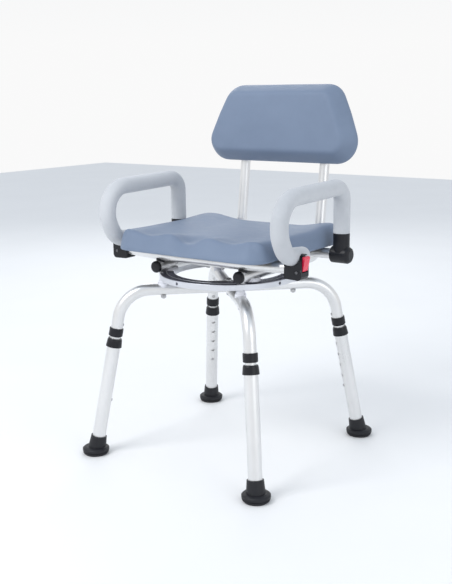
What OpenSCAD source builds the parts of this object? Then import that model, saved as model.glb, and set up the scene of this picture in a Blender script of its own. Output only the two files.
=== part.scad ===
// Swivel bath chair: a bent-tube leg frame carries a turntable ring, and the
// padded seat with its flip-up arms and its back turns on the ring.
// Millimetres. Origin on the floor under the swivel axis, +Z up, front is -Y.

/* [Leg frame] */
// Distance of each foot from the swivel axis
foot_reach = 300.9; // [270:0.1:340]
// Outward splay of the legs
splay = 11.1; // [6:0.1:16]
// Height of the crossing tubes' centre line
cross_z = 363; // [330:1:400]
// Outside diameter of the bent frame tubes
frame_d = 25.4; // [22:0.1:32]
// Centre-line radius of the frame's bends
frame_bend_r = 70; // [50:1:90]
// Wall of all the frame tubes
wall = 1.5; // [1.2:0.1:2.5]

/* [Legs] */
// Outside diameter of the lower leg tubes
leg_d = 28.6; // [26:0.1:34]
// Outside diameter of the inner leg tubes
inner_d = 22.2; // [19:0.1:25]
// Spacing of the height holes
hole_pitch = 25.4; // [20:0.1:30]
// Number of height holes in each leg
hole_count = 5; // [3:1:7]
// Diameter of the rubber foot's flange
foot_d = 58; // [45:1:70]

/* [Turntable] */
// Outside radius of the turntable ring
ring_r = 150; // [135:1:165]
// Height of the turntable's underside
ring_z = 385; // [380:0.5:392]
// Thickness of the fixed ring
ring_h = 12; // [10:0.5:14]
// Number of bearing balls
ball_count = 36; // [24:2:48]

/* [Seat] */
// Half spacing of the two seat tubes
seat_tube_x = 107; // [95:1:115]
// Height of the seat tubes' centre line
seat_tube_z = 413; // [412:0.5:418]
// Height of the two cross rails' centre line
rail_z = 437.6; // [437:0.1:442]
// Diameter of the cross rails and back uprights
rail_d = 22.2; // [20:0.1:25]
// Half width of the seat cushion
cushion_x = 189.5; // [180:0.5:198]
// Front edge of the cushion, ahead of the swivel axis
cushion_front = 166; // [150:1:180]
// Rear edge of the cushion, behind the swivel axis
cushion_rear = 184; // [170:1:186]

/* [Arms] */
// Distance of each arm from the chair's middle
arm_x = 218.5; // [216:0.5:225]
// Position of the arm hinge behind the swivel axis
hinge_y = 103; // [95:1:115]
// Diameter of the foam grip
grip_d = 35.5; // [32:0.5:40]

/* [Back] */
// Half width of the back pad at its widest
back_x = 192; // [180:1:199]
// Backward lean of the uprights
recline = 7.49; // [4:0.01:12]

/* [Hidden] */
$fn = 48;
run = 0.05;
bend_lap = 0.5;
bend_swell = 0.1;
grip_run = 0.25;
gap = 0.3;

corner_turn = [-45, 45, 135, 225];

// leg axis: distances are measured upwards from the floor along the leg
leg_cos = cos(splay);
frame_end_s = 270.4;
corner_s = cross_z / leg_cos;
corner_r = foot_reach - corner_s * sin(splay);
bend_turn = 90 - splay;
bend_back = frame_bend_r * tan(bend_turn / 2);
leg_top_s = 262.6;
leg_bottom_s = 10;
collar_h = 18.4;
inner_bottom_s = 95;
inner_top_s = 306;
stud_s = 296;
top_hole_s = 227;
button_s = top_hole_s - (hole_count - 1) * hole_pitch;
button_d = 7;
hole_d = 7.4;
frame_bore = inner_d + 2 * run;
leg_bore = leg_d - 2 * wall;

// turntable
race_r = 135.1;
ball_d = 5.9;
groove_r = 3.02;
ring_split = 0.7;
fixed_in_r = race_r + ring_split;
moving_out_r = race_r - ring_split;
moving_in_r = 119;
moving_lift = 0.6;
ring_top = ring_z + ring_h;
moving_top = ring_top + moving_lift;
saddle_r = 143;
glide_r = 127;
glide_y = sqrt(glide_r * glide_r - seat_tube_x * seat_tube_x);
bolt_d = 6;
index_turn = 80;
index_depth = 9;
index_d = 6.6;
ring_screw_count = 6;

// seat frame
seat_tube_front = -113;
seat_bend_r = 40;
upright_y0 = 207.5;
upright_z0 = 493.3;
seat_corner_y = upright_y0 + (seat_tube_z - upright_z0) * tan(recline);
seat_turn = 90 - recline;
seat_bend_back = seat_bend_r * tan(seat_turn / 2);
sleeve_len = 34;
plug_len = 9;
upright_low = 449;
upright_high = 738;
rail_bow_r = 1033;
front_rail_y = -106;
front_rail_half = asin(206 / rail_bow_r);
front_rail_x_y = front_rail_y + seat_tube_x * seat_tube_x / (2 * rail_bow_r);
rear_rail_x = 240;
rail_top = rail_z + rail_d / 2;
rail_bottom = rail_z - rail_d / 2;

// cushion and board
board_z = rail_top + gap;
board_h = 3.6;
board_inset = 18;
cushion_z = 450.8;
cushion_corner = 40;
cushion_low = 488;
cushion_high = 496;

// arm path, measured from the top of its tee
tee_top = 483;
tee_d = 36;
tee_in_x = 198;
tee_out_x = 235;
tee_dome = 7;
arm_tube_low = 453;
arm_rise = 67.9;
arm_path = [
    [arm_rise, 91.17, 30],
    [158.4, 116.83, 55.7],
    [12.7, 57, 40],
    [45, 0, 0]
];
grip_end_y = -51.4;
grip_end_z = 459.7;
grip_end_tilt = 5;
grip_cap = 5;

// latch bracket: a block on the front rail's end with a cradle for the grip
// and a horn on its outer side, which holds the release lever
latch_y0 = -100.5;
latch_y1 = -72;
latch_z0 = 418.5;
latch_z1 = 452;
latch_in = 204;
latch_out = 243;
spigot_x = 176;
horn_in = 236;
horn_z = 470;
horn_r = 11;
lever_y0 = -95.5;
lever_y1 = -76.5;
lever_room = 1;
lever_floor = 237.8;
lever_pin_x = 241;
lever_pin_z = 438;
lever_top = 27;

// back pad, in the plane of the uprights
back_mid_z = 705;
back_mid_y = upright_y0 + (back_mid_z - upright_z0) * tan(recline);
back_front = -56;
back_bevel = -36;
back_rear = -11.5;
back_shrink = 17;
back_discs = [[back_x - 48, -42.8, 48], [back_x - 47, 5.6, 36], [back_x - 79, 38.9, 45]];
clamp_low = -48;
clamp_high = 12;

alu = [0.80, 0.81, 0.83];
black = [0.09, 0.09, 0.11];
white = [0.92, 0.92, 0.94];
foam = [0.80, 0.82, 0.84];
blue = [0.43, 0.52, 0.65];

// ---------- shared shapes ----------

// a hollow or solid round bar along +Z
module tube_z(d, bore, z0, z1) {
    translate([0, 0, z0])
        difference() {
            cylinder(d = d, h = z1 - z0);
            if (bore > 0)
                translate([0, 0, -1])
                    cylinder(d = bore, h = z1 - z0 + 2);
        }
}

// a round tube that starts at the origin towards +Z and bends towards +X;
// each step is [straight length, turn, bend radius]. A bend's wall is swelled
// a little, so that the ends of the straights lie inside it
module bent_tube(steps, d, bore, i = 0) {
    if (i < len(steps)) {
        bends = steps[i][1] > 0;
        tube_z(d, bore, i > 0 ? -bend_lap : 0, steps[i][0] + (bends ? bend_lap : 0));
        if (bends)
            translate([0, 0, steps[i][0]]) {
                bend_r = steps[i][2];
                translate([bend_r, 0, 0])
                    rotate([90, 0, 180])
                        rotate_extrude(angle = steps[i][1])
                            translate([bend_r, 0])
                                difference() {
                                    circle(d = d + 2 * bend_swell);
                                    if (bore > 0)
                                        circle(d = bore - 2 * bend_swell);
                                }
                translate([bend_r, 0, 0])
                    rotate([0, steps[i][1], 0])
                        translate([-bend_r, 0, 0])
                            bent_tube(steps, d, bore, i + 1);
            }
    }
}

// a bar along +X
module bar_x(r, x0, x1) {
    translate([x0, 0, 0])
        rotate([0, 90, 0])
            cylinder(r = r, h = x1 - x0);
}

// puts its children in the frame of one leg: origin on the floor, +Z up the
// leg and -X towards the chair's middle
module at_leg(i) {
    rotate([0, 0, corner_turn[i]])
        translate([foot_reach, 0, 0])
            rotate([0, -splay, 0])
                children();
}

module both_sides() {
    children();
    mirror([1, 0, 0])
        children();
}

module on_side(s) {
    if (s > 0)
        children();
    else
        mirror([1, 0, 0])
            children();
}

module at_upright() {
    translate([0, back_mid_y, back_mid_z])
        rotate([-recline, 0, 0])
            children();
}

// ---------- leg frame ----------

frame_leg_len = corner_s - bend_back - frame_end_s;
frame_span = 2 * (corner_r - bend_back);

// the tube of one diagonal, from leg i to the leg opposite
module frame_diagonal(i, bore) {
    steps = [
        [frame_leg_len, bend_turn, frame_bend_r],
        [frame_span, bend_turn, frame_bend_r],
        [frame_leg_len, 0, 0]
    ];
    at_leg(i)
        translate([0, 0, frame_end_s])
            rotate([0, 0, 180])
                bent_tube(steps, frame_d, bore);
}

module stud_hole(i, s, d) {
    at_leg(i)
        translate([-leg_d, 0, s])
            rotate([0, 90, 0])
                cylinder(d = d, h = leg_d);
}

module saddle_bolt_holes(d) {
    for (i = [0:3])
        rotate([0, 0, corner_turn[i]])
            translate([saddle_r, 0, cross_z - frame_d])
                cylinder(d = d, h = 2 * frame_d);
}

module frame_holes() {
    saddle_bolt_holes(bolt_d + 0.4);
    for (i = [0:3])
        stud_hole(i, stud_s, hole_d);
    translate([0, 0, cross_z - frame_d])
        cylinder(d = bolt_d + 0.4, h = 2 * frame_d);
}

module frame_tube_main() {
    color(alu)
        difference() {
            frame_diagonal(3, frame_bore);
            frame_holes();
        }
}

// half of the second diagonal, coped onto the first where they cross
module frame_half(i) {
    color(alu)
        difference() {
            intersection() {
                frame_diagonal(i, frame_bore);
                rotate([0, 0, corner_turn[i]])
                    translate([0, -50, 200])
                        cube([400, 100, 300]);
            }
            rotate([0, 0, corner_turn[i]])
                translate([0, 0, cross_z])
                    rotate([90, 0, 0])
                        cylinder(d = frame_d, h = 100, center = true);
            frame_holes();
        }
}

module frame_tube_front_left() {
    frame_half(0);
}

module frame_tube_rear_right() {
    frame_half(2);
}

module bolt_head(d, h) {
    rotate_extrude()
        polygon([[0, 0], [d / 2, 0], [d / 2, h * 0.5], [d * 0.36, h], [0, h]]);
}

module hex_nut(width, h) {
    cylinder(d = width / cos(30), h = h, $fn = 6);
}

// the bolts that hold the ring's saddles, and the one through the crossing
module frame_bolts() {
    under = cross_z - frame_d / 2;
    color(alu) {
        for (i = [0:3])
            rotate([0, 0, corner_turn[i]])
                translate([saddle_r, 0, 0]) {
                    translate([0, 0, under - 8])
                        cylinder(d = bolt_d, h = ring_z + 8 - under + 8);
                    translate([0, 0, under - 1.2])
                        cylinder(d = 12, h = 1.2);
                    translate([0, 0, under - 6.2])
                        hex_nut(10, 5);
                }
        translate([0, 0, under - 8])
            cylinder(d = bolt_d, h = frame_d + 9);
        translate([0, 0, under - 6.2])
            hex_nut(10, 5);
        translate([0, 0, under - 1.2])
            cylinder(d = 13, h = 1.2);
        translate([0, 0, cross_z + frame_d / 2])
            bolt_head(13, 5);
    }
}

module frame_collars() {
    color(black)
        for (i = [0:3])
            at_leg(i)
                translate([0, 0, frame_end_s - 1.2])
                    difference() {
                        rotate_extrude()
                            polygon([[0, 0], [13.6, 0], [15.1, 1.6],
                                     [15.1, collar_h - 1], [14.6, collar_h], [0, collar_h]]);
                        translate([0, 0, -1])
                            cylinder(d = frame_bore, h = 3);
                        translate([0, 0, 1.2])
                            cylinder(d = frame_d, h = collar_h);
                    }
}

// the four inner tubes; a slot up from the lower end clears each height button
// as its leg slides down
module inner_leg_tubes() {
    slot_h = button_s + hole_d / 2 - inner_bottom_s + 1;
    color(alu)
        for (i = [0:3])
            difference() {
                at_leg(i)
                    difference() {
                        translate([0, 0, inner_bottom_s])
                            cylinder(d = inner_d, h = inner_top_s - inner_bottom_s);
                        translate([0, 0, inner_bottom_s - 1])
                            cylinder(d = inner_d - 2 * wall,
                                     h = inner_top_s - inner_bottom_s + 2);
                        translate([-inner_d, -hole_d / 2, inner_bottom_s - 1])
                            cube([inner_d, hole_d, slot_h]);
                    }
                stud_hole(i, stud_s, hole_d);
            }
}

// a domed push button on the side of its tube that faces the chair's middle
module push_button(i, s, reach) {
    color(alu)
        at_leg(i)
            translate([-reach, 0, s])
                rotate([0, 90, 0])
                    rotate_extrude()
                        polygon([[0, 0], [1.8, 0.1], [2.9, 0.7], [button_d / 2, 1.8],
                                 [button_d / 2, 8], [0, 8]]);
}

frame_button_reach = frame_d / 2 + 1.8;
leg_button_reach = leg_d / 2 + 1.8;

module snap_button_front_left() {
    push_button(0, stud_s, frame_button_reach);
}

module snap_button_rear_left() {
    push_button(1, stud_s, frame_button_reach);
}

module snap_button_rear_right() {
    push_button(2, stud_s, frame_button_reach);
}

module snap_button_front_right() {
    push_button(3, stud_s, frame_button_reach);
}

// ---------- turntable ----------

module ball_groove() {
    rotate_extrude($fn = 96)
        translate([race_r, ring_z + ring_h / 2])
            circle(r = groove_r);
}

module ring(r0, r1, top, soft) {
    rotate_extrude($fn = 96)
        polygon([[r0, ring_z], [r1, ring_z], [r1, top - soft], [r1 - soft, top], [r0, top]]);
}

// fixed to the leg frame; its rim has four index holes for the swivel lock
module turntable_fixed_ring() {
    color(alu)
        difference() {
            ring(fixed_in_r, ring_r, ring_top, 1);
            ball_groove();
            for (k = [0:3])
                rotate([0, 0, index_turn + 90 * k])
                    translate([ring_r - index_depth, 0, ring_z + ring_h / 2])
                        rotate([0, 90, 0])
                            cylinder(d = index_d, h = index_depth + 1);
            for (i = [0:3])
                rotate([0, 0, corner_turn[i]])
                    translate([saddle_r, 0, ring_z - 1])
                        cylinder(d = bolt_d + 0.2, h = 9.4);
            for (k = [0:ring_screw_count - 1])
                rotate([0, 0, 30 + 360 / ring_screw_count * k])
                    translate([saddle_r, 0, ring_top - 2])
                        cylinder(d = 4.2, h = 3);
        }
}

module ring_screws() {
    color(alu)
        for (k = [0:ring_screw_count - 1])
            rotate([0, 0, 30 + 360 / ring_screw_count * k])
                translate([saddle_r, 0, ring_top - 2])
                    cylinder(d = 4, h = 2.4);
}

module turntable_balls() {
    color(alu)
        for (k = [0:ball_count - 1])
            rotate([0, 0, 360 / ball_count * k])
                translate([race_r, 0, ring_z + ring_h / 2])
                    sphere(d = ball_d, $fn = 24);
}

// plastic saddles between the crossing tubes and the fixed ring
module ring_saddles() {
    color(white)
        for (i = [0:3])
            rotate([0, 0, corner_turn[i]])
                difference() {
                    translate([saddle_r, 0, 0])
                        rotate_extrude()
                            polygon([[0, cross_z], [11.8, cross_z + 1], [11.8, cross_z + 13.5],
                                     [9.6, cross_z + 16], [9.6, ring_z - 3], [7, ring_z],
                                     [0, ring_z]]);
                    translate([0, 0, cross_z])
                        rotate([0, 90, 0])
                            cylinder(d = frame_d + 2 * run, h = 2 * saddle_r);
                    translate([saddle_r, 0, cross_z])
                        cylinder(d = bolt_d + 0.4, h = frame_d);
                }
}

module glide_positions() {
    for (sx = [-1, 1])
        for (sy = [-1, 1])
            translate([sx * seat_tube_x, sy * glide_y, 0])
                children();
}

// turns with the seat on the balls
module turntable_moving_ring() {
    color(alu)
        difference() {
            ring(moving_in_r, moving_out_r, moving_top, 0.6);
            ball_groove();
            glide_positions()
                translate([0, 0, ring_z - 1])
                    cylinder(d = bolt_d + 0.4, h = ring_h + 3);
        }
}

module ring_glides() {
    color(white)
        glide_positions()
            difference() {
                translate([0, 0, moving_top])
                    rotate_extrude()
                        polygon([[0, 0], [7.2, 0], [8.4, 1.4], [17.4, 1.4], [18, 2.2], [18, 5.5],
                                 [16.4, 9], [0, 9]]);
                translate([0, 0, seat_tube_z])
                    rotate([90, 0, 0])
                        cylinder(d = frame_d + 2 * run, h = 40, center = true);
                translate([0, 0, moving_top - 1])
                    cylinder(d = bolt_d + 0.4, h = 20);
            }
}

// ---------- legs ----------

module leg_tube(i) {
    color(alu)
        at_leg(i)
            difference() {
                translate([0, 0, leg_bottom_s])
                    cylinder(d = leg_d, h = leg_top_s - leg_bottom_s);
                translate([0, 0, leg_bottom_s - 1])
                    cylinder(d = leg_bore, h = leg_top_s - leg_bottom_s + 2);
                for (k = [0:hole_count - 1])
                    translate([-leg_d, 0, top_hole_s - k * hole_pitch])
                        rotate([0, 90, 0])
                            cylinder(d = hole_d, h = leg_d);
            }
}

// a cap over the leg tube's top with a bush inside it that guides the inner tube
module leg_collar(i) {
    bush_h = 22;
    color(black)
        at_leg(i)
            difference() {
                union() {
                    translate([0, 0, leg_top_s + 1.6 - collar_h])
                        rotate_extrude()
                            polygon([[0, 0], [17, 0], [17, 1.5], [15.8, collar_h - 4],
                                     [14.6, collar_h], [0, collar_h]]);
                    translate([0, 0, leg_top_s - bush_h])
                        cylinder(d = leg_bore, h = bush_h);
                }
                difference() {
                    translate([0, 0, leg_top_s - collar_h - 2])
                        cylinder(d = leg_d, h = collar_h + 2);
                    translate([0, 0, leg_top_s - collar_h - 3])
                        cylinder(d = leg_bore, h = collar_h + 4);
                }
                translate([0, 0, leg_top_s - bush_h - 1])
                    cylinder(d = inner_d + 2 * run, h = bush_h + 5);
            }
}

// a rubber foot: a level flange with a grooved rim and a socket along the leg
module foot(i) {
    socket_top = 41;
    color(black)
        difference() {
            union() {
                rotate([0, 0, corner_turn[i]])
                    translate([foot_reach, 0, 0])
                        rotate_extrude()
                            polygon([[0, 0], [foot_d / 2 - 4, 0], [foot_d / 2 - 1.5, 3],
                                     [foot_d / 2 - 0.6, 6], [foot_d / 2 - 1.8, 6.6],
                                     [foot_d / 2 - 1.8, 8], [foot_d / 2, 8.6],
                                     [foot_d / 2, 12.6], [foot_d / 2 - 3, 15.2],
                                     [foot_d / 2 - 7.5, 16.6], [0, 16.6]]);
                at_leg(i)
                    translate([0, 0, 5])
                        cylinder(r1 = 20.2, r2 = 17, h = socket_top - 5);
            }
            at_leg(i)
                translate([0, 0, leg_bottom_s])
                    cylinder(d = leg_d, h = socket_top);
        }
}

module leg_tube_front_left() {
    leg_tube(0);
}

module leg_tube_rear_left() {
    leg_tube(1);
}

module leg_tube_rear_right() {
    leg_tube(2);
}

module leg_tube_front_right() {
    leg_tube(3);
}

module leg_collar_front_left() {
    leg_collar(0);
}

module leg_collar_rear_left() {
    leg_collar(1);
}

module leg_collar_rear_right() {
    leg_collar(2);
}

module leg_collar_front_right() {
    leg_collar(3);
}

module foot_front_left() {
    foot(0);
}

module foot_rear_left() {
    foot(1);
}

module foot_rear_right() {
    foot(2);
}

module foot_front_right() {
    foot(3);
}

module height_button_front_left() {
    push_button(0, button_s, leg_button_reach);
}

module height_button_rear_left() {
    push_button(1, button_s, leg_button_reach);
}

module height_button_rear_right() {
    push_button(2, button_s, leg_button_reach);
}

module height_button_front_right() {
    push_button(3, button_s, leg_button_reach);
}

// ---------- seat frame ----------

// the bolts' holes: through the glides, and where the cross rails sit
module seat_bolt_holes(d) {
    glide_positions()
        translate([0, 0, ring_z])
            cylinder(d = d, h = 50);
    for (sx = [-1, 1])
        for (y = [front_rail_x_y, hinge_y])
            translate([sx * seat_tube_x, y, ring_z])
                cylinder(d = d, h = 60);
}

module seat_tube(s) {
    run_len = seat_corner_y - seat_bend_back - seat_tube_front;
    steps = [[run_len, seat_turn, seat_bend_r], [sleeve_len, 0, 0]];
    color(alu)
        difference() {
            translate([s * seat_tube_x, seat_tube_front, seat_tube_z])
                rotate([-90, -90, 0])
                    bent_tube(steps, frame_d, frame_bore);
            seat_bolt_holes(bolt_d + 0.4);
            upright_bolt_hole(4.4);
        }
}

module upright_bolt_hole(d) {
    at_upright()
        for (sx = [-1, 1])
            translate([sx * seat_tube_x, 0, (465 - back_mid_z) / cos(recline)])
                rotate([90, 0, 0])
                    cylinder(d = d, h = 60, center = true);
}

module seat_tube_left() {
    seat_tube(1);
}

module seat_tube_right() {
    seat_tube(-1);
}

module seat_tube_plugs() {
    color(black)
        both_sides()
            translate([seat_tube_x, seat_tube_front, seat_tube_z])
                rotate([90, 0, 0]) {
                    rotate_extrude()
                        polygon([[0, 0], [12.6, 0], [12.6, 4], [11.7, 6.2], [8.8, 8],
                                 [0, 8.8]]);
                    translate([0, 0, -plug_len])
                        cylinder(d = frame_bore, h = plug_len);
                }
}

module seat_bolts() {
    low_head = 2.2;
    color(alu) {
        glide_positions() {
            translate([0, 0, ring_z])
                cylinder(d = bolt_d, h = seat_tube_z + frame_d / 2 - ring_z);
            translate([0, 0, ring_z])
                mirror([0, 0, 1])
                    bolt_head(11, 3.6);
            translate([0, 0, seat_tube_z + frame_d / 2])
                bolt_head(11, 4);
        }
        for (sx = [-1, 1])
            for (y = [front_rail_x_y, hinge_y])
                translate([sx * seat_tube_x, y, 0]) {
                    translate([0, 0, seat_tube_z - frame_d / 2])
                        cylinder(d = bolt_d, h = 36);
                    translate([0, 0, seat_tube_z - frame_d / 2])
                        mirror([0, 0, 1])
                            bolt_head(11, low_head);
                }
        at_upright()
            for (sx = [-1, 1])
                translate([sx * seat_tube_x, 0, (465 - back_mid_z) / cos(recline)])
                    rotate([-90, 0, 0]) {
                        translate([0, 0, -frame_d / 2])
                            cylinder(d = 4, h = frame_d);
                        translate([0, 0, frame_d / 2])
                            bolt_head(9, 3);
                    }
    }
}

// bowed forward between the two latch brackets
module front_rail() {
    color(alu)
        difference() {
            translate([0, front_rail_y + rail_bow_r, rail_z])
                rotate([0, 0, -90 - front_rail_half])
                    rotate_extrude(angle = 2 * front_rail_half, $fn = 360)
                        translate([rail_bow_r, 0])
                            difference() {
                                circle(d = rail_d, $fn = 48);
                                circle(d = rail_d - 2 * wall, $fn = 48);
                            }
            seat_bolt_holes(bolt_d + 0.4);
            seat_screw_holes(4.4);
        }
}

module rear_rail() {
    color(alu)
        difference() {
            translate([0, hinge_y, rail_z])
                difference() {
                    bar_x(rail_d / 2, -rear_rail_x, rear_rail_x);
                    bar_x(rail_d / 2 - wall, -rear_rail_x - 1, rear_rail_x + 1);
                }
            seat_bolt_holes(bolt_d + 0.4);
            seat_screw_holes(4.4);
        }
}

// shaped spacers where the cross rails sit on the seat tubes
module rail_saddles() {
    color(black)
        difference() {
            for (sx = [-1, 1])
                for (y = [front_rail_x_y, hinge_y])
                    translate([sx * seat_tube_x, y, 419])
                        cylinder(d = 19, h = 14);
            for (sx = [-1, 1])
                translate([sx * seat_tube_x, 0, seat_tube_z])
                    rotate([90, 0, 0])
                        cylinder(d = frame_d + 2 * run, h = 400, center = true);
            translate([0, hinge_y, rail_z])
                bar_x(rail_d / 2 + run, -150, 150);
            translate([0, front_rail_y + rail_bow_r, rail_z])
                rotate([0, 0, -90 - front_rail_half])
                    rotate_extrude(angle = 2 * front_rail_half, $fn = 360)
                        translate([rail_bow_r, 0])
                            circle(d = rail_d + 2 * run, $fn = 48);
            seat_bolt_holes(bolt_d + 0.4);
        }
}

seat_screw_x = 60;
front_screw_y = front_rail_y + seat_screw_x * seat_screw_x / (2 * rail_bow_r);

module seat_screw_positions() {
    for (sx = [-1, 1])
        for (y = [front_screw_y, hinge_y])
            translate([sx * seat_screw_x, y, 0])
                children();
}

module seat_screw_holes(d) {
    seat_screw_positions()
        translate([0, 0, rail_bottom - 5])
            cylinder(d = d, h = 26.5);
}

module seat_screws() {
    color(alu)
        seat_screw_positions() {
            translate([0, 0, rail_bottom - 1])
                cylinder(d = 4, h = 22);
            translate([0, 0, rail_bottom - 0.2])
                mirror([0, 0, 1])
                    bolt_head(8, 2.6);
        }
}

// ---------- cushion ----------

module rounded_plate(x, y0, y1, r, h) {
    translate([-x + r, y0, 0])
        cube([2 * (x - r), y1 - y0, h]);
    translate([-x, y0 + r, 0])
        cube([2 * x, y1 - y0 - 2 * r, h]);
    for (sx = [-1, 1])
        for (y = [y0 + r, y1 - r])
            translate([sx * (x - r), y, 0])
                cylinder(r = r, h = h);
}

module seat_board() {
    color([0.16, 0.15, 0.15])
        difference() {
            translate([0, 0, board_z])
                rounded_plate(cushion_x - board_inset, -cushion_front + board_inset,
                              cushion_rear - board_inset, 30, board_h);
            seat_screw_positions()
                translate([0, 0, board_z - 1])
                    cylinder(d = 4.2, h = board_h + 2);
        }
}

// one corner of the cushion: upright wall with a rolled top edge
module cushion_corner_post(top) {
    roll = 12;
    rotate_extrude($fn = 32)
        polygon([[0, 0], [cushion_corner - 5, 0], [cushion_corner, 7],
                 [cushion_corner, top - roll], [cushion_corner - roll * 0.3, top - roll * 0.3],
                 [cushion_corner - roll, top], [0, top]]);
}

module seat_cushion() {
    inset = cushion_corner;
    pocket = gap;
    color(blue)
        difference() {
            hull()
                for (sx = [-1, 1]) {
                    translate([sx * (cushion_x - inset), -cushion_front + inset, cushion_z])
                        cushion_corner_post(cushion_low - cushion_z + 4);
                    translate([sx * (cushion_x - inset), cushion_rear - inset, cushion_z])
                        cushion_corner_post(cushion_high - cushion_z);
                }
            translate([0, 0, board_z - 1])
                rounded_plate(cushion_x - board_inset + pocket,
                              -cushion_front + board_inset - pocket,
                              cushion_rear - board_inset + pocket, 30,
                              board_h + pocket + 1);
            for (sx = [-1, 1])
                translate([sx * 105, 0, cushion_low + 150])
                    rotate([90, 0, 0])
                        cylinder(r = 158, h = 500, center = true, $fn = 96);
        }
}

// ---------- arms ----------

// a bar along the arm's path; it can start below the tee's top and stop short
module arm_shape(d, bore, drop, cut) {
    steps = [
        [arm_path[0][0] + drop, arm_path[0][1], arm_path[0][2]],
        arm_path[1],
        arm_path[2],
        [arm_path[3][0] - cut, 0, 0]
    ];
    translate([arm_x, hinge_y, tee_top - drop])
        rotate([0, 0, -90])
            bent_tube(steps, d, bore);
}

module arm_tube(s) {
    color(alu)
        on_side(s)
            arm_shape(rail_d, rail_d - 2 * wall, tee_top - arm_tube_low, grip_cap + 1);
}

// puts its children at the grip's free end, +Z out of the end
module at_grip_end() {
    translate([arm_x, grip_end_y, grip_end_z])
        rotate([-90 - grip_end_tilt, 0, 0])
            children();
}

module arm_grip(s) {
    r = grip_d / 2 + bend_swell;
    color(foam)
        on_side(s) {
            arm_shape(grip_d, rail_d + 2 * grip_run, 0, grip_cap);
            at_grip_end()
                translate([0, 0, -grip_cap - bend_lap])
                    rotate_extrude()
                        polygon([[0, 0], [r, 0], [r, grip_cap - 2.2], [r - 1, grip_cap - 0.5],
                                 [r - 3.4, grip_cap + bend_lap], [0, grip_cap + bend_lap]]);
        }
}

// the hinge fitting: a barrel on the rear rail's end and a socket for the arm
module arm_tee(s) {
    color(black)
        on_side(s)
            difference() {
                union() {
                    translate([0, hinge_y, rail_z])
                        rotate([0, 90, 0])
                            translate([0, 0, tee_in_x])
                                rotate_extrude()
                                    polygon([[0, 0], [tee_d / 2 - 1, 0], [tee_d / 2, 1],
                                             [tee_d / 2, tee_out_x - tee_in_x],
                                             [tee_d / 2 - 2.5, tee_out_x - tee_in_x + 4.5],
                                             [tee_d / 2 - 7, tee_out_x - tee_in_x + tee_dome],
                                             [0, tee_out_x - tee_in_x + tee_dome]]);
                    translate([arm_x, hinge_y, rail_z])
                        cylinder(d = grip_d - 0.5, h = tee_top - rail_z);
                }
                translate([0, hinge_y, rail_z])
                    bar_x(rail_d / 2 + run, tee_in_x - 1, rear_rail_x + 0.5);
                translate([arm_x, hinge_y, arm_tube_low])
                    cylinder(d = rail_d, h = 40);
            }
}

module arm_tube_left() {
    arm_tube(1);
}

module arm_tube_right() {
    arm_tube(-1);
}

module arm_grip_left() {
    arm_grip(1);
}

module arm_grip_right() {
    arm_grip(-1);
}

module arm_tee_left() {
    arm_tee(1);
}

module arm_tee_right() {
    arm_tee(-1);
}

// ---------- arm latches ----------

// the space that the grip's end needs to lift out of the bracket
module grip_swing() {
    room = grip_d + 1;
    at_grip_end() {
        translate([0, 0, -88])
            cylinder(d = room, h = 100);
        translate([-room / 2, -40, -88])
            cube([room, 40, 100]);
    }
    arm_shape(room, 0, 0, 0);
}

// the bracket's outline seen from the front, outer side at +X
module latch_outline() {
    polygon([[latch_in, latch_z0 + 3], [latch_in + 2, latch_z0 + 1], [latch_out - 7, latch_z0],
             [latch_out - 2.5, latch_z0 + 2], [latch_out, latch_z0 + 7], [latch_out, latch_z1 + 6],
             [horn_in, latch_z1 + 6], [horn_in, latch_z1], [latch_in, latch_z1]]);
}

module horn_outline() {
    mid = (latch_y0 + latch_y1) / 2;
    translate([mid, horn_z - horn_r])
        circle(r = horn_r);
    polygon([[latch_y0 + 1, latch_z1 - 4], [latch_y1 - 1, latch_z1 - 4],
             [mid + horn_r, horn_z - horn_r], [mid - horn_r, horn_z - horn_r]]);
}

// the pocket that the lever sits and turns in
module lever_pocket() {
    translate([lever_floor, lever_y0 - lever_room, lever_pin_z - 4.5])
        cube([30, lever_y1 - lever_y0 + 2 * lever_room, lever_top + 6]);
}

// a bar of diameter d that follows the front rail to the angle given
module rail_bar(d, angle) {
    translate([0, front_rail_y + rail_bow_r, rail_z])
        rotate([0, 0, -90])
            rotate_extrude(angle = angle, $fn = 360)
                translate([rail_bow_r, 0])
                    circle(d = d, $fn = 48);
}

// a block that butts on the rail's end, with a spigot inside the rail's bore
module latch_bracket(s) {
    spigot_end = latch_in + 4;
    color(black)
        on_side(s)
            difference() {
                union() {
                    difference() {
                        union() {
                            translate([0, latch_y1, 0])
                                rotate([90, 0, 0])
                                    linear_extrude(height = latch_y1 - latch_y0)
                                        latch_outline();
                            translate([horn_in, 0, 0])
                                rotate([90, 0, 90])
                                    linear_extrude(height = latch_out - horn_in)
                                        horn_outline();
                        }
                        rail_bar(rail_d + 2 * run, front_rail_half + 0.05);
                    }
                    intersection() {
                        rail_bar(rail_d - 2 * wall - 2 * run, front_rail_half + 1);
                        translate([spigot_x, -200, 400])
                            cube([spigot_end - spigot_x, 200, 60]);
                    }
                }
                grip_swing();
                lever_pocket();
                translate([lever_pin_x, 0, lever_pin_z])
                    rotate([90, 0, 0])
                        cylinder(r = 1.5 + run, h = 200);
            }
}

// hinge pins of the levers, and the screws in the brackets' front faces
module latch_pins() {
    color(alu)
        both_sides() {
            translate([lever_pin_x, latch_y1 - 1, lever_pin_z])
                rotate([90, 0, 0])
                    cylinder(r = 1.5, h = latch_y1 - latch_y0 - 2);
            translate([232, latch_y0, 434])
                rotate([90, 0, 0])
                    bolt_head(6, 1.6);
        }
}

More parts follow.
